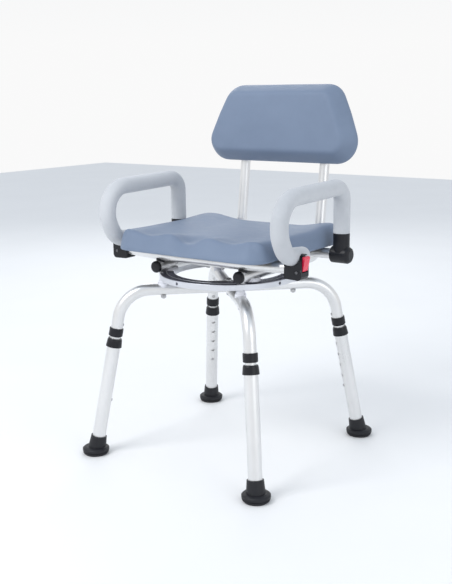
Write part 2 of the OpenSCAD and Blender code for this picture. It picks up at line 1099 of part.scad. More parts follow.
// red release lever: hinged at its foot, its top stands proud and is pushed in
module release_lever(s) {
    color([0.87, 0.20, 0.30])
        on_side(s)
            difference() {
                translate([lever_pin_x, lever_y1, lever_pin_z])
                    rotate([90, 0, 0])
                        linear_extrude(height = lever_y1 - lever_y0)
                            polygon([[-2.4, -1.5], [-1.5, -2.6], [1.5, -2.6], [2.8, -1],
                                     [7.4, lever_top - 4], [6.8, lever_top - 1.2],
                                     [4.8, lever_top], [2.2, lever_top], [1.5, lever_top - 1.5]]);
                translate([lever_pin_x, 0, lever_pin_z])
                    rotate([90, 0, 0])
                        cylinder(r = 1.5 + run, h = 200);
            }
}

module latch_bracket_left() {
    latch_bracket(1);
}

module latch_bracket_right() {
    latch_bracket(-1);
}

module release_lever_left() {
    release_lever(1);
}

module release_lever_right() {
    release_lever(-1);
}

// ---------- back ----------

module upright(s) {
    low = (upright_low - back_mid_z) / cos(recline);
    high = (upright_high - back_mid_z) / cos(recline);
    color(alu)
        difference() {
            at_upright()
                translate([s * seat_tube_x, 0, low])
                    difference() {
                        cylinder(d = rail_d, h = high - low);
                        translate([0, 0, -1])
                            cylinder(d = rail_d - 2 * wall, h = high - low + 2);
                    }
            upright_bolt_hole(4.4);
        }
}

module upright_left() {
    upright(1);
}

module upright_right() {
    upright(-1);
}

// a rounded trapezoid, drawn in the uprights' plane
module back_discs_at(shrink, y0, y1) {
    for (sx = [-1, 1])
        for (disc = back_discs)
            translate([sx * disc[0], y1, disc[1]])
                rotate([90, 0, 0])
                    cylinder(r = disc[2] - shrink, h = y1 - y0, $fn = 32);
}

module back_pad() {
    color(blue)
        at_upright()
            difference() {
                hull() {
                    back_discs_at(0, back_bevel, back_rear - 6);
                    back_discs_at(5, back_rear - 1, back_rear);
                    back_discs_at(7, back_bevel - 13, back_bevel);
                    back_discs_at(back_shrink, back_front, back_front + 1);
                }
                translate([-back_board_x - gap, back_rear - 4 - gap, back_board_low - gap])
                    cube([2 * (back_board_x + gap), 10, back_board_high - back_board_low
                          + 2 * gap]);
            }
}

back_board_x = 135;
back_board_low = -70;
back_board_high = 55;

module back_board() {
    color(black)
        at_upright()
            translate([-back_board_x, back_rear - 4, back_board_low])
                cube([2 * back_board_x, 4, back_board_high - back_board_low]);
}

// half-round straps that hold the uprights to the back's board, with screws
module back_clamps() {
    strap_h = 16;
    strap_d = rail_d + 4;
    color(alu)
        at_upright()
            for (sx = [-1, 1])
                for (z = [clamp_low, clamp_high])
                    translate([sx * seat_tube_x, 0, z]) {
                        difference() {
                            union() {
                                cylinder(d = strap_d, h = strap_h);
                                translate([-22, back_rear + gap, 0])
                                    cube([44, 2, strap_h]);
                                translate([-strap_d / 2, back_rear + gap, 0])
                                    cube([strap_d, -back_rear - gap, strap_h]);
                            }
                            translate([0, 0, -1])
                                cylinder(d = rail_d + 2 * run, h = strap_h + 2);
                            translate([-30, back_rear + gap - 10, -1])
                                cube([60, 10, strap_h + 2]);
                        }
                        for (side = [-1, 1])
                            translate([side * 17.5, back_rear + gap + 2, strap_h / 2])
                                rotate([-90, 0, 0])
                                    bolt_head(7, 2.2);
                    }
}

// ---------- swivel lock ----------

lock_strap_y = 146;
lock_strap_w = 15;
lock_plate_r = 157;
lock_z = ring_z + ring_h / 2;
strap_z = seat_tube_z + frame_d / 2 + gap;

module lock_frame() {
    rotate([0, 0, index_turn])
        translate([0, 0, lock_z])
            rotate([0, 90, 0])
                children();
}

module swivel_lock_bracket() {
    color(alu)
        difference() {
            union() {
                translate([-seat_tube_x - 8, lock_strap_y, strap_z])
                    cube([2 * seat_tube_x + 16, lock_strap_w, 3]);
                rotate([0, 0, index_turn])
                    translate([lock_plate_r, -11, lock_z - 10])
                        cube([3, 22, strap_z + 2 - lock_z + 10]);
                lock_frame()
                    translate([0, 0, lock_plate_r - 3])
                        cylinder(d = 13, h = 20);
            }
            lock_frame()
                translate([0, 0, lock_plate_r - 10])
                    cylinder(d = bolt_d + 2 * run, h = 40);
        }
}

// drawn out and parked; it slides towards the ring into an index hole
module swivel_lock_pin() {
    pin_start = ring_r + 1.5;
    color(black)
        lock_frame() {
            translate([0, 0, pin_start])
                cylinder(d = bolt_d, h = 40);
            translate([0, 0, lock_plate_r + 27])
                rotate_extrude()
                    polygon([[0, 0], [7, 0], [9, 2], [9, 12], [7, 15], [0, 15]]);
        }
}

frame_tube_main();
frame_tube_front_left();
frame_tube_rear_right();
frame_bolts();
frame_collars();
inner_leg_tubes();
snap_button_front_left();
snap_button_rear_left();
snap_button_rear_right();
snap_button_front_right();
turntable_fixed_ring();
turntable_balls();
ring_saddles();
ring_screws();
leg_tube_front_left();
leg_tube_rear_left();
leg_tube_rear_right();
leg_tube_front_right();
leg_collar_front_left();
leg_collar_rear_left();
leg_collar_rear_right();
leg_collar_front_right();
foot_front_left();
foot_rear_left();
foot_rear_right();
foot_front_right();
height_button_front_left();
height_button_rear_left();
height_button_rear_right();
height_button_front_right();
turntable_moving_ring();
ring_glides();
seat_tube_left();
seat_tube_right();
seat_tube_plugs();
seat_bolts();
front_rail();
rear_rail();
rail_saddles();
latch_bracket_left();
latch_bracket_right();
latch_pins();
release_lever_left();
release_lever_right();
seat_board();
seat_screws();
seat_cushion();
upright_left();
upright_right();
back_clamps();
back_board();
back_pad();
arm_tube_left();
arm_tube_right();
arm_grip_left();
arm_grip_right();
arm_tee_left();
arm_tee_right();
swivel_lock_bracket();
swivel_lock_pin();
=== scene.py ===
import math

import bpy
import numpy as np
from mathutils import Matrix, Vector


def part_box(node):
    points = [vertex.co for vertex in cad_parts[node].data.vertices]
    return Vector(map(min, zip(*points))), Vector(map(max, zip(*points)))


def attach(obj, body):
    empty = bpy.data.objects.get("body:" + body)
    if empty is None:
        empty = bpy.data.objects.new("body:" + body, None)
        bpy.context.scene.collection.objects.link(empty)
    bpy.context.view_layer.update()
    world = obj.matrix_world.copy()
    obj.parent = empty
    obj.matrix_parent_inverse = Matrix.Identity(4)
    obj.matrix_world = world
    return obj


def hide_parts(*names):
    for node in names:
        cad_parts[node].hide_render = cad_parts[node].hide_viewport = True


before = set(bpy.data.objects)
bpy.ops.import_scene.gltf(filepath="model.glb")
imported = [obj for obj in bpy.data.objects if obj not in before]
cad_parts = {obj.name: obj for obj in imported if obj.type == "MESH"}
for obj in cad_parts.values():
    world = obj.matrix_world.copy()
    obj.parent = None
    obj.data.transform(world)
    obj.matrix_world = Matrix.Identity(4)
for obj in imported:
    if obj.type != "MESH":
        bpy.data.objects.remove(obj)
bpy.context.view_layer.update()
MM = 0.001

# The chair faces -Y, its own left side is +X. Sizes of the foam pieces are in mm and are
# turned into metres when a mesh is made.

# ---------------------------------------------------------------- camera


CAMERA_PLACE = Vector((1.1306, -1.5735, 0.7789))
CAMERA_FORWARD = Vector((-0.57238, 0.79094, -0.21630))
CAMERA_UP = Vector((-0.11810, 0.18152, 0.97627))
CAMERA_LENS = 56.15
CAMERA_SENSOR = 36.0


def make_camera():
    forward = CAMERA_FORWARD.normalized()
    right = forward.cross(CAMERA_UP).normalized()
    up = right.cross(forward)
    data = bpy.data.cameras.new("camera")
    data.lens = CAMERA_LENS
    data.sensor_width = CAMERA_SENSOR
    data.clip_start = 0.05
    data.clip_end = 50.0
    camera = bpy.data.objects.new("camera", data)
    bpy.context.scene.collection.objects.link(camera)
    turn = Matrix((right, up, -forward)).transposed()
    camera.matrix_world = Matrix.Translation(CAMERA_PLACE) @ turn.to_4x4()
    bpy.context.scene.camera = camera


# ---------------------------------------------------------------- node helpers


class Nodes:
    """A material's node tree, with short calls for the nodes used here."""

    def __init__(self, name):
        self.material = bpy.data.materials.new(name)
        self.material.use_nodes = True
        self.tree = self.material.node_tree
        self.tree.nodes.clear()
        out = self.tree.nodes.new("ShaderNodeOutputMaterial")
        self.shader = self.tree.nodes.new("ShaderNodeBsdfPrincipled")
        self.link(self.shader.outputs[0], out.inputs["Surface"])
        self.coord = self.tree.nodes.new("ShaderNodeTexCoord").outputs["Object"]

    def link(self, a, b):
        self.tree.links.new(a, b)

    def put(self, socket, value):
        """Links value if it is a socket, otherwise sets it."""
        if isinstance(value, bpy.types.NodeSocket):
            self.link(value, socket)
        else:
            socket.default_value = value

    def scaled(self, stretch, turn=0.0):
        """Object coordinates turned about Z, then stretched."""
        vector = self.coord
        if turn:
            turned = self.tree.nodes.new("ShaderNodeMapping")
            turned.inputs["Rotation"].default_value = (0.0, 0.0, turn)
            self.link(vector, turned.inputs["Vector"])
            vector = turned.outputs[0]
        n = self.tree.nodes.new("ShaderNodeMapping")
        n.inputs["Scale"].default_value = stretch
        self.link(vector, n.inputs["Vector"])
        return n.outputs[0]

    def noise(self, scale, detail=3.0, rough=0.5, vector=None, distortion=0.0):
        n = self.tree.nodes.new("ShaderNodeTexNoise")
        n.inputs["Scale"].default_value = scale
        n.inputs["Detail"].default_value = detail
        n.inputs["Roughness"].default_value = rough
        n.inputs["Distortion"].default_value = distortion
        self.link(vector or self.coord, n.inputs["Vector"])
        return n.outputs["Fac"]

    def cells(self, scale, smooth=0.6):
        n = self.tree.nodes.new("ShaderNodeTexVoronoi")
        n.feature = "SMOOTH_F1"
        n.inputs["Scale"].default_value = scale
        n.inputs["Smoothness"].default_value = smooth
        self.link(self.coord, n.inputs["Vector"])
        return n.outputs["Distance"]

    def spread(self, value, low, high, to_low, to_high):
        """Value stretched from low..high to to_low..to_high, and clamped there."""
        n = self.tree.nodes.new("ShaderNodeMapRange")
        n.inputs["From Min"].default_value = low
        n.inputs["From Max"].default_value = high
        n.inputs["To Min"].default_value = to_low
        n.inputs["To Max"].default_value = to_high
        self.link(value, n.inputs["Value"])
        return n.outputs["Result"]

    def math(self, kind, a, b=0.0):
        n = self.tree.nodes.new("ShaderNodeMath")
        n.operation = kind
        self.put(n.inputs[0], a)
        self.put(n.inputs[1], b)
        return n.outputs[0]

    def mix(self, amount, a, b):
        n = self.tree.nodes.new("ShaderNodeMix")
        n.data_type = "RGBA"
        self.put(n.inputs[0], amount)
        self.put(n.inputs[6], a)
        self.put(n.inputs[7], b)
        return n.outputs[2]

    def edges(self, radius):
        """1 on sharp edges, 0 on flat faces."""
        b = self.tree.nodes.new("ShaderNodeBevel")
        b.samples = 4
        b.inputs["Radius"].default_value = radius
        g = self.tree.nodes.new("ShaderNodeNewGeometry")
        d = self.tree.nodes.new("ShaderNodeVectorMath")
        d.operation = "DOT_PRODUCT"
        self.link(b.outputs[0], d.inputs[0])
        self.link(g.outputs["Normal"], d.inputs[1])
        return self.spread(d.outputs["Value"], 0.98, 0.80, 0.0, 1.0)

    def facing_up(self):
        """1 where the surface looks up, 0 on its sides."""
        g = self.tree.nodes.new("ShaderNodeNewGeometry")
        x = self.tree.nodes.new("ShaderNodeSeparateXYZ")
        self.link(g.outputs["Normal"], x.inputs[0])
        return self.spread(x.outputs["Z"], 0.75, 0.95, 0.0, 1.0)

    def bump(self, height, distance, below=None):
        """Bump of the given depth in metres, on top of the bump below."""
        n = self.tree.nodes.new("ShaderNodeBump")
        n.inputs["Strength"].default_value = 1.0
        n.inputs["Distance"].default_value = distance
        self.link(height, n.inputs["Height"])
        if below is not None:
            self.link(below, n.inputs["Normal"])
        return n.outputs["Normal"]


def rgb(r, g, b):
    return (r, g, b, 1.0)


def shade(colour, factor):
    return (colour[0] * factor, colour[1] * factor, colour[2] * factor, 1.0)


# ---------------------------------------------------------------- materials


def drawn_tube(name, colour, stretch, turn=0.0):
    """Satin anodised aluminium tube with fine drawing lines along it."""
    m = Nodes(name)
    p = m.shader
    cloud = m.noise(9.0, 3.0)
    lines = m.noise(1.0, 4.0, 0.6, m.scaled(stretch, turn))
    fine = m.noise(900.0, 2.0)
    rub = m.noise(38.0, 5.0, 0.7, distortion=0.6)
    tint = m.mix(m.spread(cloud, 0.35, 0.65, 0.0, 1.0), shade(colour, 0.93), colour)
    worn = m.spread(rub, 0.63, 0.74, 0.0, 0.35)
    m.link(m.mix(worn, tint, shade(colour, 0.80)), p.inputs["Base Color"])
    p.inputs["Metallic"].default_value = 0.88
    rough = m.math("ADD", m.spread(lines, 0.3, 0.7, 0.27, 0.37),
                   m.spread(cloud, 0.3, 0.7, -0.02, 0.04))
    m.link(rough, p.inputs["Roughness"])
    a = m.bump(lines, 0.00006)
    m.link(m.bump(fine, 0.00002, below=a), p.inputs["Normal"])
    return m.material


def turned_ring(name, colour, top):
    """Lathe-turned aluminium: rings round the swivel axis, and a dark top face that is painted
    shade from the seat above it.
    """
    m = Nodes(name)
    p = m.shader
    wave = m.tree.nodes.new("ShaderNodeTexWave")
    wave.wave_type = "RINGS"
    wave.rings_direction = "Z"
    wave.inputs["Scale"].default_value = 260.0
    wave.inputs["Distortion"].default_value = 1.2
    wave.inputs["Detail"].default_value = 2.0
    m.link(m.coord, wave.inputs["Vector"])
    cloud = m.noise(14.0, 4.0)
    bright = m.mix(m.spread(cloud, 0.3, 0.7, 0.0, 1.0), shade(colour, 0.88), colour)
    # painted shade: faces that look up are darkened, standing in for the shade under the seat
    painted_top_shade = m.mix(m.spread(cloud, 0.3, 0.7, 0.0, 1.0), shade(top, 0.8), shade(top, 1.3))
    m.link(m.mix(m.facing_up(), bright, painted_top_shade), p.inputs["Base Color"])
    p.inputs["Metallic"].default_value = 0.9
    m.link(m.spread(cloud, 0.3, 0.7, 0.30, 0.42), p.inputs["Roughness"])
    m.link(m.bump(wave.outputs["Fac"], 0.00004), p.inputs["Normal"])
    return m.material


def hardware(name, colour):
    """Zinc-plated screws, bolts and nuts."""
    m = Nodes(name)
    p = m.shader
    cloud = m.noise(120.0, 4.0)
    edge = m.edges(0.0005)
    base = m.mix(m.spread(cloud, 0.35, 0.7, 0.0, 1.0), shade(colour, 0.7), colour)
    m.link(m.mix(m.math("MULTIPLY", edge, 0.6), base, rgb(0.8, 0.8, 0.82)), p.inputs["Base Color"])
    p.inputs["Metallic"].default_value = 1.0
    m.link(m.spread(cloud, 0.3, 0.7, 0.22, 0.42), p.inputs["Roughness"])
    m.link(m.bump(m.noise(700.0, 3.0), 0.00003), p.inputs["Normal"])
    return m.material


def moulded(name, colour, worn, rough, grain, depth, wear, coat=0.0, gloss=0.5):
    """Injection-moulded plastic: a fine etched grain, dust in it and paler rubbed edges."""
    m = Nodes(name)
    p = m.shader
    cloud = m.noise(30.0, 4.0, 0.6)
    pits = m.cells(grain)
    fine = m.noise(grain * 1.7, 2.0)
    edge = m.edges(0.0006)
    base = m.mix(m.spread(cloud, 0.35, 0.68, 0.0, 1.0), shade(colour, 0.86), shade(colour, 1.12))
    rubbed = m.math("MULTIPLY", edge, m.spread(m.noise(90.0, 3.0), 0.4, 0.65, 0.1, wear))
    m.link(m.mix(rubbed, base, worn), p.inputs["Base Color"])
    r = m.math("ADD", m.spread(cloud, 0.3, 0.7, rough - 0.05, rough + 0.06),
               m.math("MULTIPLY", edge, -0.06))
    m.link(r, p.inputs["Roughness"])
    p.inputs["Specular IOR Level"].default_value = gloss
    p.inputs["Coat Weight"].default_value = coat
    p.inputs["Coat Roughness"].default_value = 0.12
    a = m.bump(pits, depth)
    m.link(m.bump(fine, depth * 0.5, below=a), p.inputs["Normal"])
    return m.material


def soft_foam(name, colour, dark, rough, cell, depth, sheen, skin):
    """Moulded foam with its own skin: fine grain with painted shade in its pores, slow unevenness
    and a soft sheen.
    """
    m = Nodes(name)
    p = m.shader
    slow = m.noise(7.0, 3.0, 0.55)
    mottle = m.noise(60.0, 4.0, 0.6)
    grain = m.cells(cell, 0.8)
    wrinkle = m.noise(cell * 0.45, 4.0, 0.65, distortion=1.2)
    base = m.mix(m.spread(slow, 0.32, 0.68, 0.0, 1.0), dark, colour)
    speck = m.spread(mottle, 0.35, 0.7, 0.0, 0.25)
    base = m.mix(speck, base, shade(colour, 1.08))
    # painted shade: the dimples that the grain's bump makes are darkened
    painted_pore_shade = m.spread(grain, 0.0, 0.35, 0.18, 0.0)
    m.link(m.mix(painted_pore_shade, base, shade(dark, 0.8)), p.inputs["Base Color"])
    m.link(m.spread(mottle, 0.3, 0.7, rough - 0.05, rough + 0.06), p.inputs["Roughness"])
    p.inputs["Specular IOR Level"].default_value = skin
    p.inputs["Sheen Weight"].default_value = sheen
    p.inputs["Sheen Roughness"].default_value = 0.45
    a = m.bump(grain, depth)
    b = m.bump(wrinkle, depth * 0.8, below=a)
    m.link(m.bump(slow, 0.0006, below=b), p.inputs["Normal"])
    return m.material


def painted_board(name, colour):
    """Dark laminated plywood with its plies on the edge."""
    m = Nodes(name)
    p = m.shader
    plies = m.noise(1.0, 3.0, 0.5, m.scaled((30.0, 30.0, 900.0)))
    fibre = m.noise(1.0, 4.0, 0.6, m.scaled((260.0, 18.0, 260.0)))
    m.link(m.mix(m.spread(plies, 0.35, 0.65, 0.0, 1.0), shade(colour, 0.7), shade(colour, 1.3)),
           p.inputs["Base Color"])
    m.link(m.spread(fibre, 0.3, 0.7, 0.5, 0.7), p.inputs["Roughness"])
    m.link(m.bump(fibre, 0.0001), p.inputs["Normal"])
    return m.material


ALU = rgb(0.80, 0.80, 0.80)
# how closely the drawing lines of a tube lie, along it and across it
ALONG = 12.0
ACROSS = 1400.0
alu_z = drawn_tube("aluminium_leg", ALU, (ACROSS, ACROSS, ALONG))
alu_x = drawn_tube("aluminium_rail", ALU, (ALONG, ACROSS, ACROSS))
alu_y = drawn_tube("aluminium_seat_tube", ALU, (ACROSS, ALONG, ACROSS))
alu_diag_a = drawn_tube("aluminium_frame_a", ALU, (ALONG, ACROSS, ACROSS), math.radians(45))
alu_diag_b = drawn_tube("aluminium_frame_b", ALU, (ALONG, ACROSS, ACROSS), math.radians(-45))
# the last colour is painted shade for the ring's top face, which lies under the seat
ring_alu = turned_ring("aluminium_turned", rgb(0.74, 0.755, 0.80), rgb(0.13, 0.13, 0.19))
steel = hardware("zinc_steel", rgb(0.55, 0.55, 0.56))
dark_steel = hardware("blackened_steel", rgb(0.16, 0.16, 0.17))
black = moulded("black_nylon", rgb(0.0075, 0.008, 0.0115), rgb(0.05, 0.055, 0.075),
                rough=0.36, grain=1500.0, depth=0.00004, wear=0.22, gloss=0.34)
rubber = moulded("black_rubber", rgb(0.011, 0.0115, 0.015), rgb(0.06, 0.06, 0.07),
                 rough=0.50, grain=1100.0, depth=0.00008, wear=0.22, gloss=0.36)
white = moulded("white_nylon", rgb(0.72, 0.73, 0.78), rgb(0.85, 0.85, 0.88),
                rough=0.42, grain=1500.0, depth=0.00004, wear=0.2)
red = moulded("red_plastic", rgb(0.78, 0.014, 0.062), rgb(0.85, 0.25, 0.3),
              rough=0.28, grain=1400.0, depth=0.00002, wear=0.3, coat=0.4)
foam_grey = soft_foam("grip_foam", rgb(0.545, 0.562, 0.59), rgb(0.475, 0.495, 0.525),
                      rough=0.72, cell=1100.0, depth=0.00010, sheen=0.25, skin=0.25)
foam_blue = soft_foam("blue_skin_foam", rgb(0.184, 0.236, 0.330), rgb(0.166, 0.214, 0.302),
                      rough=0.54, cell=900.0, depth=0.00006, sheen=0.04, skin=0.24)
board = painted_board("dark_board", rgb(0.035, 0.032, 0.030))

# finish of each CAD node; a key that ends in _ stands for every node that starts with it
FINISHES = {
    "frame_tube_main": alu_diag_b, "frame_tube_front_left": alu_diag_a,
    "frame_tube_rear_right": alu_diag_a, "inner_leg_tubes": alu_z,
    "leg_tube_": alu_z, "seat_tube_left": alu_y, "seat_tube_right": alu_y,
    "front_rail": alu_x, "rear_rail": alu_x, "upright_": alu_z, "arm_tube_": alu_z,
    "turntable_fixed_ring": ring_alu, "turntable_moving_ring": ring_alu,
    "turntable_balls": steel, "ring_screws": steel, "latch_pins": dark_steel,
    "frame_bolts": steel, "seat_bolts": steel,
    "seat_screws": steel, "snap_button_": steel, "height_button_": steel,
    "ring_saddles": white, "ring_glides": white, "rail_saddles": black,
    "frame_collars": black, "leg_collar_": black, "foot_": rubber, "seat_tube_plugs": black,
    "latch_bracket_": black, "arm_tee_": black, "back_clamps": steel,
    "release_lever_": red, "seat_board": board, "back_board": board,
    "swivel_lock_bracket": dark_steel, "swivel_lock_pin": steel,
}


def finish_cad_nodes():
    for name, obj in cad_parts.items():
        keys = [k for k in FINISHES if name == k or (k.endswith("_") and name.startswith(k))]
        if not keys:
            continue
        mat = FINISHES[max(keys, key=len)]
        if not obj.data.materials:
            obj.data.materials.append(mat)
        for i in range(len(obj.data.materials)):
            obj.data.materials[i] = mat


# ---------------------------------------------------------------- mesh helpers

# points round a pad's outline, and round each disc that it is made from
OUTLINE_POINTS = 208
DISC_POINTS = 90


def piece(name, verts, faces, material, body):
    """A smooth mesh in metres that rides on a body."""
    mesh = bpy.data.meshes.new(name)
    mesh.from_pydata([tuple(v) for v in verts], [], faces)
    mesh.update()
    for f in mesh.polygons:
        f.use_smooth = True
    mesh.materials.append(material)
    obj = bpy.data.objects.new(name, mesh)
    bpy.context.scene.collection.objects.link(obj)
    smooth = obj.modifiers.new("smooth", "SUBSURF")
    smooth.levels = 1
    smooth.render_levels = 1
    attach(obj, body)
    return obj


def loft(rings):
    """Vertices and faces of a skin over rings of equally many points; the ends
    close onto their middle points."""
    n = len(rings[0])
    verts = [p for ring in rings for p in ring]
    faces = []
    for k in range(len(rings) - 1):
        for i in range(n):
            j = (i + 1) % n
            faces.append((k * n + i, k * n + j, (k + 1) * n + j, (k + 1) * n + i))
    first, last = len(verts), (len(rings) - 1) * n
    verts += [np.mean(rings[0], axis=0), np.mean(rings[-1], axis=0)]
    faces += [(first, (i + 1) % n, i) for i in range(n)]
    faces += [(first + 1, last + i, last + (i + 1) % n) for i in range(n)]
    return verts, faces


def hull_outline(discs, count):
    """Even points on the rubber-band outline round discs (x, y, r), counter-clockwise."""
    pts = []
    for x, y, r in discs:
        for k in range(DISC_POINTS):
            a = 2 * math.pi * k / DISC_POINTS
            pts.append((x + r * math.cos(a), y + r * math.sin(a)))
    pts = sorted(set(pts))

    def half(points):
        chain = []
        for q in points:
            while len(chain) > 1:
                (ax, ay), (bx, by) = chain[-2], chain[-1]
                if (bx - ax) * (q[1] - ay) - (by - ay) * (q[0] - ax) > 1e-12:
                    break
                chain.pop()
            chain.append(q)
        return chain[:-1]

    loop = np.array(half(pts) + half(pts[::-1]))
    loop = np.vstack([loop, loop[:1]])
    run = np.concatenate([[0], np.cumsum(np.linalg.norm(np.diff(loop, axis=0), axis=1))])
    s = np.linspace(0, run[-1], count, endpoint=False)
    return np.stack([np.interp(s, run, loop[:, 0]), np.interp(s, run, loop[:, 1])], axis=1)


def eased_loop(loop, times):
    """The loop with its kinks smoothed out."""
    for _ in range(times):
        loop = 0.5 * loop + 0.25 * (np.roll(loop, 1, axis=0) + np.roll(loop, -1, axis=0))
    return loop


def outward(loop):
    """Unit normals that look out of a counter-clockwise loop."""
    d = np.roll(loop, -1, axis=0) - np.roll(loop, 1, axis=0)
    n = np.stack([d[:, 1], -d[:, 0]], axis=1)
    return n / np.linalg.norm(n, axis=1)[:, None]


def ease(t):
    """0 below t = 0, 1 above t = 1, and smooth between them."""
    t = np.clip(t, 0.0, 1.0)
    return t * t * (3 - 2 * t)


# ---------------------------------------------------------------- seat cushion

# half of the front lip: distance from the middle, and height above the floor
LIP_X = np.array([0, 12, 26, 40, 50, 62, 80, 97, 112, 128, 145, 165, 200.0])
LIP_Z = np.array([472.5, 474, 481, 488.5, 490.5, 489, 484.5, 482.3, 482.6, 486, 490, 491.5,
                  491.5])
LIP_BEAD = 2.8
DISH_Z = 481.5
DISH_SIDE_RISE = 9.0
DISH_REAR_RISE = 1.5
DISH_CORNER_RISE = 3.5
CUSHION_CORNER_R = 42.0
CUSHION_FRONT_NARROWER = 3
CUSHION_REAR_NARROWER = 2
CUSHION_MIDDLE = np.array([0.0, 9.0])
SEAT_POCKET_INSET = 15.0
SEAT_POCKET_GAP = 0.7
# share of the height, and inset from the outline at the sides, the front and the rear
CUSHION_PROFILE = [
    (0.0, 5.0, 5.0, 5.0), (0.015, 1.6, 1.8, 1.6), (0.07, 0.3, 0.4, 0.3), (0.25, 0.0, 2.0, 0.2),
    (0.45, 1.0, 6.6, 1.4), (0.62, 2.6, 11.2, 3.2), (0.76, 5.0, 15.2, 6.0),
    (0.88, 8.5, 18.6, 10.0), (0.955, 13.0, 21.4, 15.0), (0.992, 18.5, 25.0, 21.0),
    (1.0, 26.0, 31.0, 29.0)]


def cushion_top(x, y, front, rear):
    """Height of the seat's top surface in mm: waves at the front lip that fade
    backwards into a shallow dish with raised rear corners."""
    lip = np.interp(abs(x), LIP_X, LIP_Z)
    side = ease((abs(x) - 70) / 105)
    back = ease((y - (rear - 150)) / 110)
    dish = (DISH_Z + DISH_SIDE_RISE * side + DISH_REAR_RISE * back
            + DISH_CORNER_RISE * side * back)
    fade = ease((y - (front + 36)) / 70)
    bead = LIP_BEAD * math.exp(-((y - (front + 28)) / 6.5) ** 2)
    return lip * (1 - fade) + dish * fade + bead


def make_cushion():
    lo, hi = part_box("seat_cushion")
    half = hi.x / MM
    front, rear, low = lo.y / MM, hi.y / MM, lo.z / MM
    r = CUSHION_CORNER_R
    front_x = half - r - CUSHION_FRONT_NARROWER
    rear_x = half - r - CUSHION_REAR_NARROWER
    loop = hull_outline([(sx * front_x, front + r, r) for sx in (-1, 1)]
                        + [(sx * rear_x, rear - r, r) for sx in (-1, 1)], OUTLINE_POINTS)
    normal = outward(loop)
    # how much a point of the outline faces forwards and backwards, 0 to 1
    ahead = ease((-normal[:, 1] - 0.25) / 0.6)[:, None]
    behind = ease((normal[:, 1] - 0.25) / 0.6)[:, None]

    def drawn_in(side, ahead_in, behind_in):
        return loop - normal * (side * (1 - ahead - behind) + ahead_in * ahead
                                + behind_in * behind)

    def towards_middle(flat, share):
        return flat * share + CUSHION_MIDDLE * (1 - share)

    # the seat board sits in a pocket in the underside
    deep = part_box("seat_board")[1].z / MM + SEAT_POCKET_GAP
    pocket = loop - normal * SEAT_POCKET_INSET
    rings = [[(x, y, deep) for x, y in towards_middle(pocket, share)]
             for share in (0.3, 0.6, 0.85, 0.98)]
    for z, lip in ((deep, 0.0), (deep - 0.5, 0.0), (low + 0.5, 0.0), (low, 0.4), (low, 1.5)):
        rings.append([(x, y, z) for x, y in loop - normal * (SEAT_POCKET_INSET - lip)])
    for share, *insets in CUSHION_PROFILE:
        rings.append([(x, y, low + share * (cushion_top(x, y, front, rear) - low))
                      for x, y in drawn_in(*insets)])
    inner = drawn_in(*CUSHION_PROFILE[-1][1:])
    for share in (0.93, 0.86, 0.78, 0.69, 0.59, 0.48, 0.37, 0.26, 0.15, 0.06):
        rings.append([(x, y, cushion_top(x, y, front, rear))
                      for x, y in towards_middle(inner, share)])
    verts, faces = loft([np.array(ring) * MM for ring in rings])
    obj = piece("seat_cushion_foam", verts, faces, foam_blue, "seat")
    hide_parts("seat_cushion")
    return obj


# ---------------------------------------------------------------- back pad


# the pad lies square in its own frame: x across, y through it, z up, 0 at its middle
PAD_LEAN = math.radians(7.49)
PAD_Z = 705.0
UPRIGHT_Y = 207.5
UPRIGHT_Z = 493.3
PAD_FACE = -56.0
PAD_REAR = -11.5
PAD_CROWN = 1.6
# discs (x, z, r) whose outline is the right half of the pad's
PAD_DISCS = [(146.5, -42.8, 48.0), (140.0, 5.6, 36.0), (114.0, 38.9, 45.0)]
# depth through the pad, and inset from its widest outline
PAD_PROFILE = [
    (PAD_REAR, 12.0), (PAD_REAR, 5.0), (PAD_REAR - 0.5, 2.0), (PAD_REAR - 2.0, 0.4),
    (-17.0, 0.0), (-22.5, 1.4), (-30.0, 5.0), (-38.0, 9.6), (-45.5, 14.4), (-51.0, 18.4),
    (-54.2, 22.0), (-55.7, 26.0), (PAD_FACE, 30.0)]
BOARD_SIDE = 135.0
BOARD_LOW = -70.0
BOARD_HIGH = 55.0
BOARD_POCKET = 5.2
BOARD_GAP = 1.2


def board_outline(loop, margin):
    """The back board's outline seen from the pad's middle in the directions of loop."""
    side, low, high = BOARD_SIDE + margin, BOARD_LOW - margin, BOARD_HIGH + margin
    x, z = loop[:, 0], loop[:, 1]
    reach = np.minimum(side / np.maximum(abs(x), 1e-6),
                       np.where(z < 0, low, high) / np.where(abs(z) < 1e-6, 1e-6, z))
    out = loop * reach[:, None]
    for corner in ((side, low), (side, high), (-side, low), (-side, high)):
        out[np.argmin(np.linalg.norm(out - np.array(corner), axis=1))] = corner
    return out


